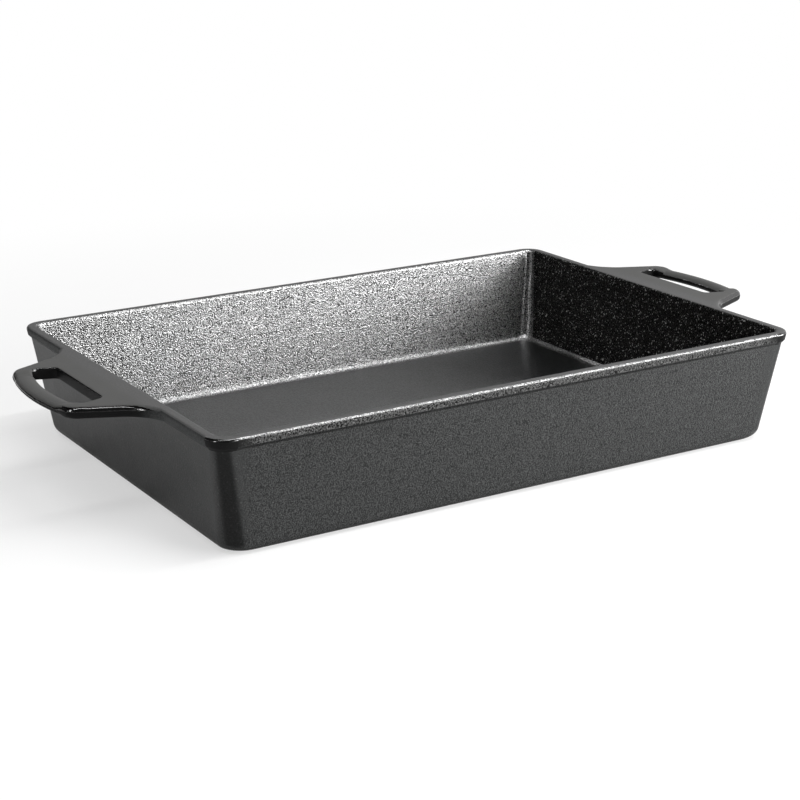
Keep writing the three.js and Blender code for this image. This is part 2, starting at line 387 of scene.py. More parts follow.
# %% Plan the corners of the handle
WEB_X = RIM_X + 14.7 * MM
GRIP_INNER_X, GRIP_WIDTH = WEB_X + 15.7 * MM, 10.2 * MM
GRIP_BOW, GRIP_RAKE = 140 * MM, math.tan(math.radians(11))
ARM_HALF_SPAN, ARM_TAPER = 54 * MM, math.tan(math.radians(24.7))
ARM_ROOT_WIDTH, ARM_END_WIDTH = 17.2 * MM, 8 * MM
FLARE_RADIUS, NOSE_RADIUS, GAP_RADIUS = 25 * MM, 8 * MM, 3 * MM
ROOT_INSET, ROOT_Y = 2.5 * MM, 95 * MM
ARM_END_Y, ARM_TIP_Y = 31.5 * MM, 20 * MM
ARM_TIP_WIDTH, ARM_TIP_SQUEEZE = 7 * MM, 0.15
ARM_EDGE, ARM_EDGE_STEPS = 2.6 * MM, 6

bow_offset = GRIP_BOW * (math.hypot(1, GRIP_RAKE) - 1)


def grip_corner(bow_x, half_span):
    """Where a side of the grip meets a side of an arm."""
    y = (half_span - (bow_x - RIM_X) * ARM_TAPER) / (1 - ARM_TAPER * GRIP_RAKE)
    return bow_x - y * GRIP_RAKE, y


outer_bow_x = GRIP_INNER_X + GRIP_WIDTH + bow_offset
inner_bow_x = GRIP_INNER_X + bow_offset
nose_x, nose_y = grip_corner(outer_bow_x, ARM_HALF_SPAN)
gap_x, gap_y = grip_corner(inner_bow_x, ARM_HALF_SPAN - ARM_END_WIDTH)
tip_x = (inner_bow_x + outer_bow_x) / 2 - ARM_TIP_Y * GRIP_RAKE
gap_root_y = ARM_HALF_SPAN - (WEB_X - RIM_X) * ARM_TAPER - ARM_ROOT_WIDTH

print("gap corners", round(gap_y / MM, 1), "mm and nose", round(nose_y / MM, 1), "mm from the middle")

# %% Model the web and the arms
far_half = [
    (WEB_X, gap_root_y, GAP_RADIUS),
    (gap_x, gap_y, GAP_RADIUS),
    (inner_bow_x - ARM_END_Y * GRIP_RAKE, ARM_END_Y, 0),
    (tip_x - ARM_TIP_WIDTH / 2, ARM_TIP_Y, 0),
    (tip_x + ARM_TIP_WIDTH / 2, ARM_TIP_Y, 0),
    (outer_bow_x - ARM_END_Y * GRIP_RAKE, ARM_END_Y, 0),
    (nose_x, nose_y, NOSE_RADIUS),
    (RIM_X, ARM_HALF_SPAN, FLARE_RADIUS),
    (RIM_X - ROOT_INSET, ROOT_Y, 0),
    (RIM_X - 2 * ROOT_INSET, ROOT_Y, 0),
]
near_half = [(x, -y, radius) for x, y, radius in reversed(far_half)]
arms = draw_plate("arms", far_half + near_half, DISH_HEIGHT, BAND_DEPTH)

# How far inside the straight side of an arm an edge may lie and still be one of that side.
SIDE_REACH = 2 * MM


def on_outer_edge(edge, a, b):
    """Edges above and below an arm's outer side, from the rim round the nose to the tip."""
    middle = (a + b) / 2
    side_y = ARM_HALF_SPAN - (middle.x - RIM_X) * ARM_TAPER
    on_nose = middle.x > tip_x + (ARM_TIP_Y - abs(middle.y)) * GRIP_RAKE
    along_side = abs(a.z - b.z) < NEAR and abs(middle.y) > ARM_TIP_Y + NEAR
    return along_side and (abs(middle.y) > side_y - SIDE_REACH or on_nose)


def at_tip(edge, a, b):
    """Edges of the arms' tips, which end inside the grip."""
    return max(abs(a.y), abs(b.y)) < ARM_TIP_Y + NEAR and min(a.x, b.x) > GRIP_INNER_X


bpy.ops.object.mode_set(mode="EDIT")
select_edges(arms, on_outer_edge)
bpy.ops.mesh.bevel(offset=ARM_EDGE, segments=ARM_EDGE_STEPS, affect="EDGES", clamp_overlap=False)
for side in (1, -1):
    bpy.ops.mesh.select_all(action="SELECT")
    bpy.ops.mesh.bisect(plane_co=(0, side * ARM_END_Y, 0), plane_no=(0, 1, 0))
select_edges(arms, at_tip)
bpy.ops.transform.resize(value=(1, 1, ARM_TIP_SQUEEZE), center_override=(0, 0, DISH_HEIGHT - BAND_DEPTH / 2))
bpy.ops.object.mode_set(mode="OBJECT")
print("arms", len(arms.data.polygons), "faces")

# %% [markdown]
# ## The handles: grip
# The grip is a flattened roll that bows outwards and lies a little lower than the arms. A spun ellipse would
# give the bow, but not the rise of its ends to the height of the arms. So it is a loft again: an ellipse at
# each station along the bow, turned to face along it and as high as it is there, each bridged to the next.

# %% Model the grip
GRIP_DIP = 0.9 * MM
GRIP_SHOULDER = 9 * MM
GRIP_REACH_Y = 35 * MM
STATIONS = 41
ELLIPSE_STEPS = 40


def grip_station(y):
    """Place, turn and height of the grip's section at a distance from its middle."""
    middle_x = GRIP_INNER_X + GRIP_WIDTH / 2
    bow = GRIP_BOW - GRIP_WIDTH / 2
    arc_y = bow * math.sin(math.atan(GRIP_RAKE))
    along = max(-arc_y, min(arc_y, y))
    x = middle_x - (bow - math.sqrt(bow**2 - along**2)) - (abs(y) - abs(along)) * GRIP_RAKE
    dip = GRIP_DIP * (1 - min(1, max(0, (abs(y) - GRIP_REACH_Y + GRIP_SHOULDER) / GRIP_SHOULDER)) ** 2)
    height = BAND_DEPTH - dip
    return Vector((x, y, BAND_BOTTOM + height / 2)), math.asin(along / bow), height


sections = []
for step in range(STATIONS):
    centre, turn, height = grip_station(GRIP_REACH_Y * (2 * step / (STATIONS - 1) - 1))
    bpy.ops.object.select_all(action="DESELECT")
    bpy.ops.mesh.primitive_circle_add(
        vertices=ELLIPSE_STEPS, radius=1, location=centre, rotation=(math.pi / 2, 0, turn),
    )
    bpy.context.object.scale = (GRIP_WIDTH / 2, height / 2, 1)
    bpy.ops.object.transform_apply()
    sections.append(bpy.context.object)
grip = joined("grip", sections)
bpy.ops.object.mode_set(mode="EDIT")
bpy.ops.mesh.select_all(action="SELECT")
bpy.ops.mesh.bridge_edge_loops()
select_edges(grip, lambda edge, a, b: edge.is_boundary)
bpy.ops.mesh.edge_face_add()
bpy.ops.mesh.select_all(action="SELECT")
bpy.ops.mesh.normals_make_consistent(inside=False)
bpy.ops.object.mode_set(mode="OBJECT")
print("grip", len(grip.data.polygons), "faces,", [round(v, 4) for v in grip.dimensions])

# %% [markdown]
# ## Casting rim and handles together
# In the mould these are one body, and the metal runs round every inside corner. A boolean union would leave
# those corners sharp. The voxel Remesh joins whatever overlaps into one even skin, and Smooth melts it: a few
# passes everywhere, more on the loops, and most where a grip meets its arms, so that it flows out of them. A
# vertex group says where each of them works.

# %% Join and remesh
VOXEL = 0.42 * MM


def apply_modifier(piece, kind, **settings):
    """Adds a modifier with its settings and applies it."""
    only(piece)
    modifier = piece.modifiers.new(kind.lower(), kind)
    for name, value in settings.items():
        setattr(modifier, name, value)
    bpy.ops.object.modifier_apply(modifier=modifier.name)


loop = joined("loop", [arms, grip])
other_loop = copy_of(loop, "other_loop")
bpy.ops.object.mode_set(mode="EDIT")
bpy.ops.mesh.select_all(action="SELECT")
bpy.ops.transform.mirror(constraint_axis=(True, False, False), center_override=(0, 0, 0))
bpy.ops.mesh.normals_make_consistent(inside=False)
bpy.ops.object.mode_set(mode="OBJECT")
rim = joined("rim", [rim_ring, loop, other_loop])
apply_modifier(rim, "REMESH", mode="VOXEL", voxel_size=VOXEL)
print("one skin of", len(rim.data.polygons), "faces")

# %% Melt the corners
SMOOTHING = 0.5
RIM_PASSES, LOOP_PASSES, SHOULDER_PASSES = 3, 14, 50

# Each span is where a weight begins and where it is full.
LOOP_SPAN = RIM_X - 1 * MM, RIM_X + 3 * MM
GRIP_SPAN = GRIP_INNER_X - 5 * MM, GRIP_INNER_X - 3 * MM
GRIP_END_SPAN = ARM_END_Y - 6 * MM, ARM_END_Y - 2 * MM
SHOULDER_SPAN = GRIP_INNER_X - 8 * MM, GRIP_INNER_X - 4 * MM
SHOULDER_END_SPAN = 2.5 * MM, 6 * MM
GRIP_SPARED = 0.8


def ramp(value, start, end):
    """0 up to the start, 1 from the end on, and an eased slope between them."""
    share = min(1, max(0, (value - start) / (end - start)))
    return share * share * (3 - 2 * share)


def weigh(piece, name, share_at):
    """A vertex group whose weights a function gives from the place of each vertex."""
    group = piece.vertex_groups.new(name=name)
    for vert in piece.data.vertices:
        share = share_at(vert.co)
        if share > 0:
            group.add([vert.index], share, "REPLACE")


def on_loop(place):
    """All of a loop, but less of its grip, which is round already."""
    on_grip = ramp(abs(place.x), *GRIP_SPAN) * (1 - ramp(abs(place.y), *GRIP_END_SPAN))
    return ramp(abs(place.x), *LOOP_SPAN) * (1 - GRIP_SPARED * on_grip)


def on_shoulder(place):
    """Where a grip meets its arms."""
    beyond_gap = ramp(abs(place.x), *SHOULDER_SPAN)
    return beyond_gap * (1 - ramp(abs(abs(place.y) - ARM_END_Y), *SHOULDER_END_SPAN))


weigh(rim, "loop", on_loop)
weigh(rim, "shoulder", on_shoulder)
for passes, group in ((RIM_PASSES, ""), (LOOP_PASSES, "loop"), (SHOULDER_PASSES, "shoulder")):
    apply_modifier(rim, "SMOOTH", factor=SMOOTHING, iterations=passes, vertex_group=group)
rim.vertex_groups.clear()
print("rim and handles", len(rim.data.polygons), "faces,", [round(v, 4) for v in rim.dimensions])

# %% [markdown]
# ## The pebbled skin
# Sand grains print themselves into the iron, deepest on the inside of the walls. A bump in the material would
# give the glitter, but not the shape, so the coarser pebbles are real: a Displace modifier moves the fine
# mesh along its normals by a Clouds texture. A vertex group says how strongly, and fades it out at the floor,
# at the base and under the rim.

# %% Displace the walls
PEBBLE_SIZE = 1.2 * MM
PEBBLE_HEIGHT = 0.12 * MM
INSIDE_FOOT, INSIDE_HEAD = (FILLET_TOP - 2 * MM, FILLET_TOP + 3 * MM), (56 * MM, 58.5 * MM)
OUTSIDE_FOOT, OUTSIDE_HEAD = (6 * MM, 12 * MM), (46 * MM, 51 * MM)
END_SMOOTH_X = 152 * MM
OUTSIDE_END, END_LOSS = (END_SMOOTH_X - 4 * MM, END_SMOOTH_X), 0.75
BASIN_SKIN = WALL_THICKNESS / 4

pebbles = bpy.data.textures.new("sand_pebbles", type="CLOUDS")
pebbles.noise_scale = PEBBLE_SIZE
pebbles.noise_depth = 0


def in_basin(place, margin):
    """Whether a place lies within the inside of the basin at its height, or at most a margin beyond it."""
    half_x, half_y, _, _ = inside(min(place.z, DISH_HEIGHT))
    return abs(place.x) < half_x + margin and abs(place.y) < half_y + margin


def pebble_share(place):
    """How strongly the pebbles stand out at a place on the wall or the rim."""
    if in_basin(place, BASIN_SKIN):
        return ramp(place.z, *INSIDE_FOOT) * (1 - ramp(place.z, *INSIDE_HEAD))
    outside_share = ramp(place.z, *OUTSIDE_FOOT) * (1 - ramp(place.z, *OUTSIDE_HEAD))
    return outside_share * (1 - END_LOSS * ramp(abs(place.x), *OUTSIDE_END))


def pebble(piece):
    """Raises the pebbles on a piece."""
    weigh(piece, "pebbles", pebble_share)
    apply_modifier(
        piece, "DISPLACE", texture=pebbles, texture_coords="LOCAL", vertex_group="pebbles",
        strength=PEBBLE_HEIGHT, mid_level=0.5,
    )
    piece.vertex_groups.clear()


pebble(wall_ring)
pebble(rim)
print("pebbles of", PEBBLE_SIZE / MM, "mm stand up to", PEBBLE_HEIGHT / MM, "mm from valley to top")

# %% [markdown]
# ## Cutting the casting into its named regions
# The frame names nine regions of the casting, and each gets its own piece. They could be modelled apart, but
# then their skins would not meet. So Bisect cuts copies of the two rings on the frame's own planes and fills
# the cuts: every piece is closed, and the cuts can't be seen.

# %% Cut the pieces
END_CUT_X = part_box("front_wall")[1].x
SMOOTH_ANGLE = math.radians(40)


def keep_beyond(piece, point, direction):
    """Cuts a piece on a plane and keeps the side that the direction points to."""
    only(piece)
    bpy.ops.object.mode_set(mode="EDIT")
    bpy.ops.mesh.select_all(action="SELECT")
    bpy.ops.mesh.bisect(plane_co=point, plane_no=direction, use_fill=True, clear_inner=True)
    bpy.ops.object.mode_set(mode="OBJECT")
    return piece


def cut_into_four(ring, kind, ends):
    """Cuts a ring into front, rear, left and right, and names them. The two ends have a name of their own."""
    right = keep_beyond(copy_of(ring, f"dish_right_{ends}"), (END_CUT_X, 0, 0), (1, 0, 0))
    left = keep_beyond(copy_of(ring, f"dish_left_{ends}"), (-END_CUT_X, 0, 0), (-1, 0, 0))
    keep_beyond(ring, (END_CUT_X, 0, 0), (-1, 0, 0))
    keep_beyond(ring, (-END_CUT_X, 0, 0), (1, 0, 0))
    front = keep_beyond(copy_of(ring, f"dish_front_{kind}"), (0, 0, 0), (0, -1, 0))
    rear = keep_beyond(ring, (0, 0, 0), (0, 1, 0))
    rear.name = f"dish_rear_{kind}"
    return [front, rear, left, right]


keep_beyond(rim, (0, 0, WALL_TOP), (0, 0, 1))
walls = cut_into_four(wall_ring, "wall", "wall")
rims = cut_into_four(rim, "rim", "handle")
dish_pieces = [floor_plate, *walls, *rims]
for piece in dish_pieces:
    only(piece)
    bpy.ops.object.mode_set(mode="EDIT")
    bpy.ops.mesh.select_all(action="SELECT")
    bpy.ops.mesh.remove_doubles(threshold=NEAR)
    bpy.ops.object.mode_set(mode="OBJECT")
    bpy.ops.object.shade_smooth_by_angle(angle=SMOOTH_ANGLE)
    print(piece.name, len(piece.data.polygons), "faces")

# %% [markdown]
# ## Tying the pieces to the frame
# Each piece stands for the frame's node of the same region and rides on the one body that a dish without
# joints has. A table could pair pieces and nodes, but the pieces are named after the nodes, so their names do.

# %% Ride and replace
for piece in dish_pieces:
    node = piece.name.replace("dish_floor", "floor_plate").replace("dish_", "")
    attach(piece, "root")
    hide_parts(node)
    print(piece.name, "stands for", node)

# %% [markdown]
# ## Finishes
# Seasoned iron is black because oil was baked onto it in thin coats. The coat is a clear dark resin, so the
# eye gets a dark body colour and a soft gloss on top of it, and the grain of the sand breaks that gloss into
# sparks. Painted maps could show it, but noise in Object coordinates has no seams, and its scale is a real size
# in millimetres. One function makes the finish, and each region sets how coarse and how glossy it is.

# %% Colour and node helpers
def linear(hex_colour):
    """An sRGB hex colour as linear red, green, blue and alpha."""
    channels = [int(hex_colour[i:i + 2], 16) / 255 for i in (1, 3, 5)]
    return [c / 12.92 if c <= 0.04045 else ((c + 0.055) / 1.055) ** 2.4 for c in channels] + [1]


def add_node(tree, kind, inputs=None, **settings):
    """Adds a node with its settings. An input is set to a value, or linked if it is given a socket."""
    node = tree.nodes.new(kind)
    for name, value in settings.items():
        setattr(node, name, value)
    for name, value in (inputs or {}).items():
        if isinstance(value, bpy.types.NodeSocket):
            tree.links.new(value, node.inputs[name])
        else:
            node.inputs[name].default_value = value
    return node


print("black iron is", [round(c, 4) for c in linear("#1c1c1d")])

# %% [markdown]
# ## What changes along the iron
# The print of the sand calms down towards the ends, pale points are painted in as glints, the loops get
# another colour than the rim, which on their dull sides is painted shade, and faces that turn away get
# painted shade. Each could be a material of its own, with a hard seam round it. Here each is a few nodes that
# fade with the place or the direction of the surface.

# %% The print of the sand
# Moulding sand has grains of 0.2 to 0.5 mm. A pixel of the picture is about as large, so every finish draws
# them a little coarser, or they would blur to an even grey.
CALM_FROM_X, CALM_TO_X = 146 * MM, 158 * MM


def sand_print(tree, place, reach, grain, calm_share, calm_level):
    """The height of the print, low in a valley and high on a crest."""
    sand = add_node(tree, "ShaderNodeTexNoise", {"Vector": place, "Scale": 1 / grain, "Detail": 0})
    if calm_share is None:
        return sand.outputs["Fac"]
    left = add_node(tree, "ShaderNodeMapRange", {
        "Value": reach, "From Min": CALM_FROM_X, "From Max": CALM_TO_X, "To Min": 1, "To Max": calm_share,
    }, interpolation_type="SMOOTHSTEP")
    return add_node(tree, "ShaderNodeMix", {
        "Factor": left.outputs["Result"], "A": calm_level, "B": sand.outputs["Fac"],
    }).outputs[0]


print("the print calms down over", round((CALM_TO_X - CALM_FROM_X) / MM), "mm")

# %% Painted glints, and the colour and painted shade of the loops
SPARK_SIZE = 0.9 * MM
SPARK_FROM, SPARK_FULL = 0.69, 0.77
GLINT_WHITE = "#b8b8b6"
LOOP_FROM_X, LOOP_FULL_X = RIM_X + 0.3 * MM, RIM_X + 7 * MM


# Mixes pale points into the body colour: painted glints, which stand in for grains that catch the lamps.
def with_sparks(tree, place, colour, sparks):
    glint = add_node(tree, "ShaderNodeTexNoise", {"Vector": place, "Scale": 1 / SPARK_SIZE, "Detail": 0})
    point = add_node(tree, "ShaderNodeMapRange", {
        "Value": glint.outputs["Fac"], "From Min": SPARK_FROM, "From Max": SPARK_FULL, "To Max": sparks,
    })
    return add_node(tree, "ShaderNodeMix", {
        "Factor": point.outputs["Result"], "A": colour, "B": linear(GLINT_WHITE),
    }, data_type="RGBA").outputs[2]


# Fades the colour along a handle; fading to near black on the dull sides of the loops is painted shade.
def with_loop_tone_and_shade(tree, reach, colour, loop_tone_and_shade):
    outwards = add_node(tree, "ShaderNodeMapRange", {
        "Value": reach, "From Min": LOOP_FROM_X, "From Max": LOOP_FULL_X,
    }, interpolation_type="SMOOTHSTEP")
    return add_node(tree, "ShaderNodeMix", {
        "Factor": outwards.outputs["Result"], "A": colour, "B": linear(loop_tone_and_shade),
    }, data_type="RGBA").outputs[2]


print("bare points of", SPARK_SIZE / MM, "mm")

# %% Faces that turn away, darkened as painted shade
DOWN_FULL, DOWN_FROM = -0.75, -0.2
CORNER_FROM, CORNER_FULL = 0.08, 0.3


# Painted shade: this share darkens colour and gloss where a face turns downwards or round an upright corner.
def painted_turned_shade(tree, share):
    """1 on a plain face, falling to a share where it turns downwards or round an upright corner."""
    facing = add_node(tree, "ShaderNodeNewGeometry").outputs["Normal"]
    facing = add_node(tree, "ShaderNodeSeparateXYZ", {0: facing}).outputs
    down = add_node(tree, "ShaderNodeMapRange", {
        "Value": facing["Z"], "From Min": DOWN_FULL, "From Max": DOWN_FROM, "To Min": share, "To Max": 1,
    }, interpolation_type="SMOOTHSTEP").outputs["Result"]
    # The square of Y times X is nothing on a flat wall and most a little past half way round a corner.
    square = add_node(tree, "ShaderNodeMath", {0: facing["Y"], 1: facing["Y"]}, operation="MULTIPLY")
    bent = add_node(tree, "ShaderNodeMath", {0: square.outputs[0], 1: facing["X"]}, operation="MULTIPLY")
    bent = add_node(tree, "ShaderNodeMath", {0: bent.outputs[0]}, operation="ABSOLUTE")
    corner = add_node(tree, "ShaderNodeMapRange", {
        "Value": bent.outputs[0], "From Min": CORNER_FROM, "From Max": CORNER_FULL,
        "To Min": 1, "To Max": share,
    }, interpolation_type="SMOOTHSTEP").outputs["Result"]
    return add_node(tree, "ShaderNodeMath", {0: down, 1: corner}, operation="MINIMUM").outputs[0]


print("a face turns away below", round(math.degrees(math.asin(DOWN_FROM))), "degrees")

# %% [markdown]
# ## One function for the iron
# The oil's coat is thick in the valleys of the print and thin on its crests. So one noise drives the relief,
# the body colour and the gloss together, and a slow one lets the polish vary as a wiped coat does. Separate
# noises would be simpler to set, but lights and colours would then not sit on the same grains.

# %% Seasoned iron
CLOUD_SIZE, CLOUD_DETAIL = 16 * MM, 4
VALLEY_LEVEL, CREST_LEVEL = 0.3, 0.7
CLEAN_GLOSS = 0.5


def seasoned_iron(
    name, valley, crest, grain, height, roughness, ior, gloss=1, shade=0, sparks=0, calm_share=None,
    calm_level=0.5, painted_shade_share=None, loop_tone_and_shade=None,
):
    """Iron under baked oil, darker in the valleys of the sand's print than on its crests.

    grain and height are the size of the print along the surface and across it, and roughness is a range.
    gloss is the share of a clean surface's gloss that is left, and shade is how much of it the valleys lose,
    because they lie in the shade of the crests. sparks is how strongly pale points are mixed into the colour:
    painted glints, which stand in for grains that catch the light. calm_share is how much of the print is left
    at the ends of the dish, where it fades to calm_level; a low calm_level darkens colour and gloss there as
    painted shade. painted_shade_share is what is left of colour and gloss where the surface turns downwards or
    round
    an upright corner: painted shade. loop_tone_and_shade is the colour far out on a handle, which on the dull
    sides of the loops is painted shade.
    """
    material = bpy.data.materials.new(name)
    material.use_nodes = True
    tree = material.node_tree
    tree.nodes.clear()
    place = add_node(tree, "ShaderNodeTexCoord").outputs["Object"]
    along = add_node(tree, "ShaderNodeSeparateXYZ", {0: place}).outputs
    reach = add_node(tree, "ShaderNodeMath", {0: along["X"]}, operation="ABSOLUTE").outputs[0]
    clouds = add_node(tree, "ShaderNodeTexNoise", {
        "Vector": place, "Scale": 1 / CLOUD_SIZE, "Detail": CLOUD_DETAIL,
    })
    polish = add_node(tree, "ShaderNodeMapRange", {
        "Value": clouds.outputs["Fac"], "To Min": roughness[0], "To Max": roughness[1],
    })
    sand = sand_print(tree, place, reach, grain, calm_share, calm_level)
    relief = add_node(tree, "ShaderNodeBump", {"Height": sand, "Strength": 1, "Distance": height})
    worn = add_node(tree, "ShaderNodeMapRange", {
        "Value": sand, "From Min": VALLEY_LEVEL, "From Max": CREST_LEVEL,
    }).outputs["Result"]
    sheen = add_node(tree, "ShaderNodeMapRange", {
        "Value": worn,
        "To Min": CLEAN_GLOSS * gloss * (1 - shade),
        "To Max": CLEAN_GLOSS * gloss * (1 + shade),
    }).outputs["Result"]
    colour = add_node(tree, "ShaderNodeMix", {
        "Factor": worn, "A": linear(valley), "B": linear(crest),
    }, data_type="RGBA").outputs[2]
    # Pale points in the colour are painted glints.
    if sparks:
        colour = with_sparks(tree, place, colour, sparks)
    # Painted shade: colour and gloss fall where the surface turns downwards or round an upright corner.
    if painted_shade_share is not None:
        turned = painted_turned_shade(tree, painted_shade_share)
        sheen = add_node(tree, "ShaderNodeMath", {0: sheen, 1: turned}, operation="MULTIPLY").outputs[0]
        colour = add_node(tree, "ShaderNodeMix", {
            "Factor": turned, "A": linear("#000000"), "B": colour,
        }, data_type="RGBA").outputs[2]
    # Colour far out on a handle; on the dull sides of the loops it is painted shade.
    if loop_tone_and_shade:
        colour = with_loop_tone_and_shade(tree, reach, colour, loop_tone_and_shade)
    shader = add_node(tree, "ShaderNodeBsdfPrincipled", {
        "Base Color": colour,
        "Roughness": polish.outputs["Result"],
        "IOR": ior,
        "Specular IOR Level": sheen,
        "Normal": relief.outputs["Normal"],
    })
    add_node(tree, "ShaderNodeOutputMaterial", {"Surface": shader.outputs["BSDF"]})
    return material


print("the polish of the oil varies in clouds of", round(CLOUD_SIZE / MM), "mm")

# %% [markdown]
# ## The finishes of the basin
# The inside keeps the skin that the sand core gave it, and oil, wiping and tumbling change it from place to
# place. One finish for all of it would be simpler, but then walls, corners and floor would glitter alike, and
# in the photograph they don't. So there are five, which differ in depth of print and in thickness of oil, and
# the short walls are darkened with painted shade.

# %% Make the finishes of the basin
# The refractive indices of baked oil, which is a resin, and of magnetite, the black oxide of hot iron, which
# lies almost uncovered where the oil is thin.
OIL, OXIDE = 1.5, 2.42
CORE_GRAIN, CORE_DEPTH = 0.62 * MM, 0.36 * MM

# Inside of the long walls: moulded against the sand core and not ground afterwards, so the print is at its
# deepest. The eye gets bright crests over black valleys, and pale points painted in as glints.
inside_finish = seasoned_iron(
    "seasoned_iron_inside", valley="#020202", crest="#161715", grain=CORE_GRAIN, height=CORE_DEPTH,
    roughness=(0.3, 0.36), ior=OXIDE, shade=0.9, sparks=0.7,
)
# Inside of the short walls: the same print, with colour and gloss darkened almost to black as painted shade.
# The eye gets a black wall with pale specks, which are painted glints.
side_painted_shade_finish = seasoned_iron(
    "seasoned_iron_side", valley="#000000", crest="#050505", grain=CORE_GRAIN, height=CORE_DEPTH,
    roughness=(0.3, 0.36), ior=OIL, gloss=0.35, shade=0.9, sparks=0.9,
)
# Upright corners of the basin: the edges of the core are rubbed round before the pour, so the print is shallow.
# The eye gets thin broken lines of light along each.
corner_finish = seasoned_iron(
    "seasoned_iron_corner", valley="#020202", crest="#121211", grain=CORE_GRAIN, height=0.14 * MM,
    roughness=(0.28, 0.34), ior=OXIDE, shade=0.9,
)
# Fillet along the floor and the upper edges: tumbling rubs these first and takes the oil down to the oxide.
# The eye gets bright lines with a grain in them.
edge_finish = seasoned_iron(
    "seasoned_iron_edge", valley="#0c0c0c", crest="#161616", grain=0.7 * MM, height=0.26 * MM,
    roughness=(0.28, 0.34), ior=OXIDE, gloss=1.5, shade=0.7,
)
# Floor: scraped level and wiped with oil, so it is the calmest face of the basin. The eye gets a dull mirror of
# the walls round it.
floor_finish = seasoned_iron(
    "seasoned_iron_floor", valley="#040505", crest="#0b0d0e", grain=0.8 * MM, height=0.1 * MM,
    roughness=(0.3, 0.36), ior=OXIDE, gloss=0.48, shade=0.4,
)
print("finishes for the walls, corners, edges and floor of the basin")

# %% [markdown]
# ## The finishes of the outside
# Outside, the casting is blasted, ground, tumbled and handled, so some faces keep the print of the sand and
# others lose it. A single black would hide all that. Six finishes follow the work that was done on each face,
# and some of them also carry painted shade.

# %% Make the finishes of the outside and the handles
# Outside: a print that shot blasting has softened, under a sprayed coat of oil, and smoother at the ends. The
# eye gets a satin dark grey. Colour and gloss are darkened as painted shade where the surface turns down or
# round an upright corner, and a few pale points are painted glints.
outside_finish = seasoned_iron(
    "seasoned_iron_outside", valley="#131414", crest="#252626", grain=0.7 * MM, height=0.24 * MM,
    roughness=(0.36, 0.46), ior=OIL, gloss=0.6, shade=0.4, sparks=0.04, calm_share=0.25, painted_shade_share=0.4,
)
# Top of the rim, the webs and the grips: ground flat on a belt, then wiped with oil. The scratches of the belt
# are too fine to see one by one, and the eye gets an even grey that is almost matt.
rim_finish = seasoned_iron(
    "seasoned_iron_rim", valley="#3e3e3e", crest="#484848", grain=0.9 * MM, height=0.04 * MM,
    roughness=(0.56, 0.64), ior=OIL, gloss=0.9, loop_tone_and_shade="#3e3e3d",
)
# Roundings of the loops and of the rim's corners: polished by the belt and by hands. The eye gets deep black
# with sharp lights.
loop_finish = seasoned_iron(
    "seasoned_iron_loop", valley="#030303", crest="#070606", grain=0.9 * MM, height=0.05 * MM,
    roughness=(0.14, 0.2), ior=OXIDE, gloss=0.45,
)
# Band below the rim: raw sand print under a thin coat. The eye gets a grey stripe with specks, partly painted
# glints. Towards the corners it fades to a dark, nearly dull level, which is painted shade.
band_finish = seasoned_iron(
    "seasoned_iron_band", valley="#080808", crest="#1c1c1b", grain=0.75 * MM, height=0.36 * MM,
    roughness=(0.28, 0.34), ior=OXIDE, gloss=0.26, shade=0.9, sparks=0.1, calm_share=0, calm_level=0.34,
)
# Sides of the rim's corners: dark and dull, as painted shade. The eye gets a matt black.
lip_painted_shade_finish = seasoned_iron(
    "seasoned_iron_lip", valley="#060606", crest="#0b0b0b", grain=0.8 * MM, height=0.04 * MM,
    roughness=(0.5, 0.6), ior=OIL, gloss=0.2,
)
# Sides of the loops and of the band at the ends: as dull, grey at the dish and darkened to near black out on
# the loop, which is painted shade. The eye gets a grey that darkens outwards.
end_painted_shade_finish = seasoned_iron(
    "seasoned_iron_end", valley="#2e2f2f", crest="#3c3d3d", grain=0.8 * MM, height=0.04 * MM,
    roughness=(0.5, 0.6), ior=OIL, gloss=0.2, loop_tone_and_shade="#080808",
)
print("finishes for the outside, the rim and the loops")

# %% [markdown]
# ## Where each finish lies
# The finishes don't follow the pieces: a wall has an inside and an outside, and a handle has ground, polished
# and raw faces. We could paint them on face by face in edit mode. A test of each face's place and direction
# does the same, and it does it on all four corners alike.

# %% Tests of place and direction
# How far up a face points where its finish changes, from -1 for straight down to 1 for straight up.
FLOOR_UP, FILLET_UP = 0.9, 0.45
LAND_UP, CROWN_UP = 0.88, 0.6
LINE_UP, UNDER_UP = 0.38, -0.35
CORNER_UP = 0.15
ROUNDING_UP, ROUNDING_SPREAD = 0.52, 0.37
# How far a face of the mouth's edge points to the front or the rear.
MOUTH_ACROSS = 0.3
# How far a finish reaches past the line that it ends on.
MOUTH_LINE = 1.3 * MM
SKIN_MARGIN, TOP_MARGIN, BAND_MARGIN, GRIP_MARGIN = 0.6 * MM, 0.2 * MM, 0.3 * MM, 4 * MM
ROUNDING_SPAN = RIM_X + 0.5 * MM, RIM_X + 7 * MM


def finish_in_basin(place, normal):
    """The finish inside the basin."""
    half_x, half_y, _, corner = inside(place.z)
    on_fillet = place.z < FILLET_TOP and normal.z > FILLET_UP
    on_mouth = place.z > DISH_HEIGHT - MOUTH_LINE and abs(normal.y) > MOUTH_ACROSS
    if on_fillet or on_mouth:
        return edge_finish
    if abs(place.x) > half_x - corner and abs(place.y) > half_y - corner:
        return corner_finish
    # The short walls get a darker finish, which is painted shade.
    return side_painted_shade_finish if abs(normal.x) > abs(normal.y) else inside_finish


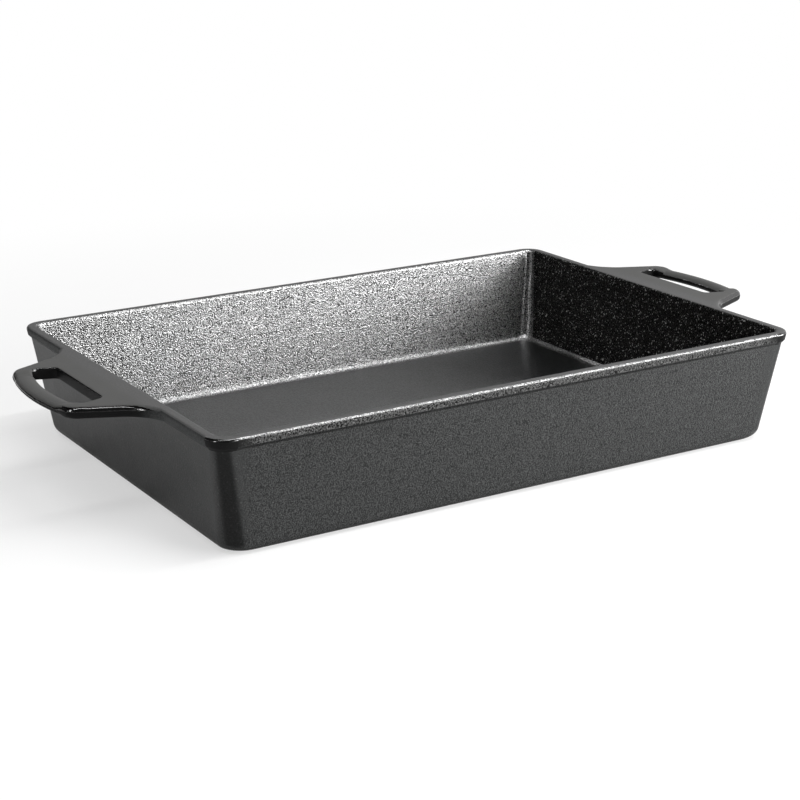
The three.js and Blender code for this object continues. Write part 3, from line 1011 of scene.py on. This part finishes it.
def finish_at_end(place, normal):
    """The finish on the sides of the rim's corners, of its ends and of the loops."""
    # The sides of the rim's corners get a matt black, which is painted shade.
    if abs(place.y) > RIM_Y - RIM_CORNER:
        return loop_finish if normal.z > CORNER_UP else lip_painted_shade_finish
    reach = ramp(abs(place.x), *ROUNDING_SPAN)
    if abs(normal.z - ROUNDING_UP) < ROUNDING_SPREAD * reach:
        return loop_finish
    # Other sides get a grey that darkens to black out on the loop: painted shade.
    return rim_finish if normal.z > ROUNDING_UP else end_painted_shade_finish


def finish_at(piece, face):
    """The finish of one face, tested from the floor to the inside, the outside, the top and the sides."""
    place, normal = face.center, face.normal
    if piece == floor_plate:
        return floor_finish if normal.z > FLOOR_UP else outside_finish
    if in_basin(place, SKIN_MARGIN) and place.z < DISH_HEIGHT - TOP_MARGIN:
        return finish_in_basin(place, normal)
    if abs(place.x) < RIM_X and place.z < BAND_BOTTOM - BAND_MARGIN:
        return outside_finish
    on_grip = abs(place.x) > GRIP_INNER_X - GRIP_MARGIN and abs(place.y) < ARM_END_Y
    if normal.z > (CROWN_UP if on_grip else LAND_UP):
        return rim_finish
    if abs(place.x) > CALM_TO_X:
        return finish_at_end(place, normal)
    if normal.z < UNDER_UP:
        return outside_finish
    return edge_finish if normal.z > LINE_UP else band_finish


print("a face counts as flat top where it points up by", LAND_UP)

# %% Put the finishes on the pieces
finishes = [
    inside_finish, side_painted_shade_finish, corner_finish, edge_finish, floor_finish, outside_finish, rim_finish,
    loop_finish, band_finish, lip_painted_shade_finish, end_painted_shade_finish,
]

for piece in dish_pieces:
    for finish in finishes:
        piece.data.materials.append(finish)
    for face in piece.data.polygons:
        face.material_index = finishes.index(finish_at(piece, face))
print(len(finishes), "finishes on", len(dish_pieces), "pieces")

# %% [markdown]
# ## The floor
# The photograph shows the dish alone on white. A large pale floor carries its shadow. More lamps would turn the
# floor white, but they would wash out the black iron. So Light Path turns it white in the camera's eye alone,
# while the dish itself gets plain light.

# %% Floor
FLOOR_SIZE = 12
FLOOR_DROP = 0.1 * MM
PAPER = "#f0f0f0"
# The iron mirrors the paper at less than its full white, because a table round a dish lies partly in shadow.
MIRRORED_WHITE = 0.4
# The white is full away from the dish, so that only the shadow near it is left.
SHADOW_WHITE = 0.55
SHADOW_FROM, SHADOW_TO = 0.2, 0.65

bpy.ops.object.select_all(action="DESELECT")
bpy.ops.mesh.primitive_plane_add(size=FLOOR_SIZE, location=(0, 0, -FLOOR_DROP))
floor = bpy.context.object
floor.name = "studio_floor"
paper = bpy.data.materials.new("studio_paper")
paper.use_nodes = True
paper_tree = paper.node_tree
paper_tree.nodes.clear()
matte = add_node(paper_tree, "ShaderNodeBsdfDiffuse", {"Color": linear(PAPER)})
white = add_node(paper_tree, "ShaderNodeEmission", {"Color": (1, 1, 1, 1), "Strength": 1})
rays = add_node(paper_tree, "ShaderNodeLightPath").outputs
mirrored = add_node(paper_tree, "ShaderNodeMath", {
    0: rays["Is Glossy Ray"], 1: MIRRORED_WHITE,
}, operation="MULTIPLY")
seen = add_node(paper_tree, "ShaderNodeMath", {
    0: rays["Is Camera Ray"], 1: mirrored.outputs[0],
}, operation="MAXIMUM")
seen = add_node(paper_tree, "ShaderNodeMath", {
    0: seen.outputs[0], 1: rays["Is Transmission Ray"],
}, operation="MAXIMUM")
spot = add_node(paper_tree, "ShaderNodeTexCoord").outputs["Object"]
away = add_node(paper_tree, "ShaderNodeVectorMath", {0: spot}, operation="LENGTH").outputs["Value"]
fade = add_node(paper_tree, "ShaderNodeMapRange", {
    "Value": away, "From Min": SHADOW_FROM, "From Max": SHADOW_TO, "To Min": SHADOW_WHITE, "To Max": 1,
}, interpolation_type="SMOOTHSTEP")
share = add_node(paper_tree, "ShaderNodeMath", {
    0: seen.outputs[0], 1: fade.outputs["Result"],
}, operation="MULTIPLY")
lit = add_node(paper_tree, "ShaderNodeMixShader", {
    0: share.outputs[0], 1: matte.outputs[0], 2: white.outputs[0],
})
# From below the paper is clear, so that the underside can be looked at.
below = add_node(paper_tree, "ShaderNodeNewGeometry").outputs["Backfacing"]
clear = add_node(paper_tree, "ShaderNodeBsdfTransparent")
one_sided = add_node(paper_tree, "ShaderNodeMixShader", {0: below, 1: lit.outputs[0], 2: clear.outputs[0]})
add_node(paper_tree, "ShaderNodeOutputMaterial", {"Surface": one_sided.outputs[0]})
floor.data.materials.append(paper)
print("floor of", floor.dimensions.x, "m")

# %% [markdown]
# ## The room
# Black iron shows little of its own colour and much of the room that it mirrors. A picture of a studio could
# light it, but this room is plain: bright round the horizon on the right, where the rim and the webs find their
# sheen, and dark on the left and overhead. So two ramps over the direction are enough. The camera sees white.

# %% World
# The light at the horizon and overhead, and the heights of view between which it changes.
HORIZON_LIGHT, CEILING_LIGHT = 0.95, 0.04
CEILING_FROM, CEILING_TO = 0.45, 0.72
# The share of it on the left and on the right, and where that changes.
LEFT_SHARE, RIGHT_SHARE = 0.06, 1
LEFT_END, RIGHT_END = -0.2, 0.7

world = bpy.data.worlds.new("studio")
bpy.context.scene.world = world
world.use_nodes = True
world_tree = world.node_tree
world_tree.nodes.clear()
way = add_node(world_tree, "ShaderNodeTexCoord").outputs["Generated"]
way = add_node(world_tree, "ShaderNodeSeparateXYZ", {0: way}).outputs
ceiling = add_node(world_tree, "ShaderNodeMapRange", {
    "Value": way["Z"], "From Min": CEILING_FROM, "From Max": CEILING_TO,
    "To Min": HORIZON_LIGHT, "To Max": CEILING_LIGHT,
}, interpolation_type="SMOOTHSTEP")
side = add_node(world_tree, "ShaderNodeMapRange", {
    "Value": way["X"], "From Min": LEFT_END, "From Max": RIGHT_END, "To Min": LEFT_SHARE, "To Max": RIGHT_SHARE,
}, interpolation_type="SMOOTHSTEP")
level = add_node(world_tree, "ShaderNodeMath", {
    0: ceiling.outputs["Result"], 1: side.outputs["Result"],
}, operation="MULTIPLY")
looked_at = add_node(world_tree, "ShaderNodeLightPath").outputs["Is Camera Ray"]
level = add_node(world_tree, "ShaderNodeMath", {0: level.outputs[0], 1: looked_at}, operation="MAXIMUM")
sky = add_node(world_tree, "ShaderNodeBackground", {"Color": (1, 1, 1, 1), "Strength": level.outputs[0]})
add_node(world_tree, "ShaderNodeOutputWorld", {"Surface": sky.outputs[0]})
print("the world is bright on the right of the horizon and dark overhead")

# %% [markdown]
# ## The lamps
# In a studio, cookware is lit by softboxes, which are lamps behind white cloth. Area lamps of the same shape
# give the same broad lights, where a point lamp would give one hard spark on each grain. The key rakes
# along the inside of the rear wall and wakes its glitter. The two lamps overhead give the front edge of the rim
# its white line. The strip on the left draws the lines in the basin's far corner, and the one at the rear draws
# the fillet along the right wall.

# %% Lamps
def softbox(name, place, target, size, power):
    """A rectangular lamp of a width and a height in metres, turned to a target, with a power in watts."""
    bpy.ops.object.light_add(type="AREA", location=place)
    lamp = bpy.context.object
    lamp.name = name
    lamp.data.shape = "RECTANGLE"
    lamp.data.size, lamp.data.size_y = size
    lamp.data.energy = power
    lamp.rotation_euler = (Vector(target) - Vector(place)).to_track_quat("-Z", "Y").to_euler()
    print(name, power, "W")


softbox("front_softbox", place=(0.55, -0.66, 0.25), target=(0, 0, 0.03), size=(1.0, 0.3), power=14)
softbox("top_softbox", place=(0.35, -0.1, 1.1), target=(0.35, 0, 0.03), size=(1.0, 0.45), power=5)
softbox("top_strip", place=(0.05, -0.35, 1.0), target=(0.05, 0, 0.03), size=(1.8, 0.06), power=8)
softbox("left_strip", place=(-1.15, -0.3, 0.4), target=(0, -0.3, 0.05), size=(0.08, 0.5), power=2)
softbox("rear_strip", place=(-0.18, 0.98, 0.75), target=(-0.18, 0, 0.03), size=(0.4, 0.14), power=1.5)

# %% [markdown]
# ## Camera
# The photograph looks down at the dish from its front left. The camera could be placed by eye, but its place,
# its turn and its lens follow from the outline of the dish, so they were worked out from that.

# %% Camera
CAMERA_TARGET = Vector((-19.23, -29.09, 30.1)) * MM
CAMERA_DISTANCE = 989.38 * MM
AZIMUTH, ELEVATION, ROLL = -0.5411, 0.304, -0.01
LENS, SENSOR_WIDTH = 84.93, 36

back = Vector((
    math.sin(AZIMUTH) * math.cos(ELEVATION),
    -math.cos(AZIMUTH) * math.cos(ELEVATION),
    math.sin(ELEVATION),
))
right = Vector((0, 0, 1)).cross(back).normalized()
up = back.cross(right)
rolled_right = math.cos(ROLL) * right + math.sin(ROLL) * up
rolled_up = math.cos(ROLL) * up - math.sin(ROLL) * right
bpy.ops.object.camera_add()
camera = bpy.context.object
camera.data.lens = LENS
camera.data.sensor_width = SENSOR_WIDTH
camera.matrix_world = Matrix.Translation(CAMERA_TARGET + CAMERA_DISTANCE * back) @ Matrix(
    (rolled_right, rolled_up, back)
).transposed().to_4x4()
bpy.context.scene.camera = camera
bpy.context.scene.view_settings.view_transform = "Standard"
print("camera at", [round(v, 4) for v in camera.matrix_world.translation])
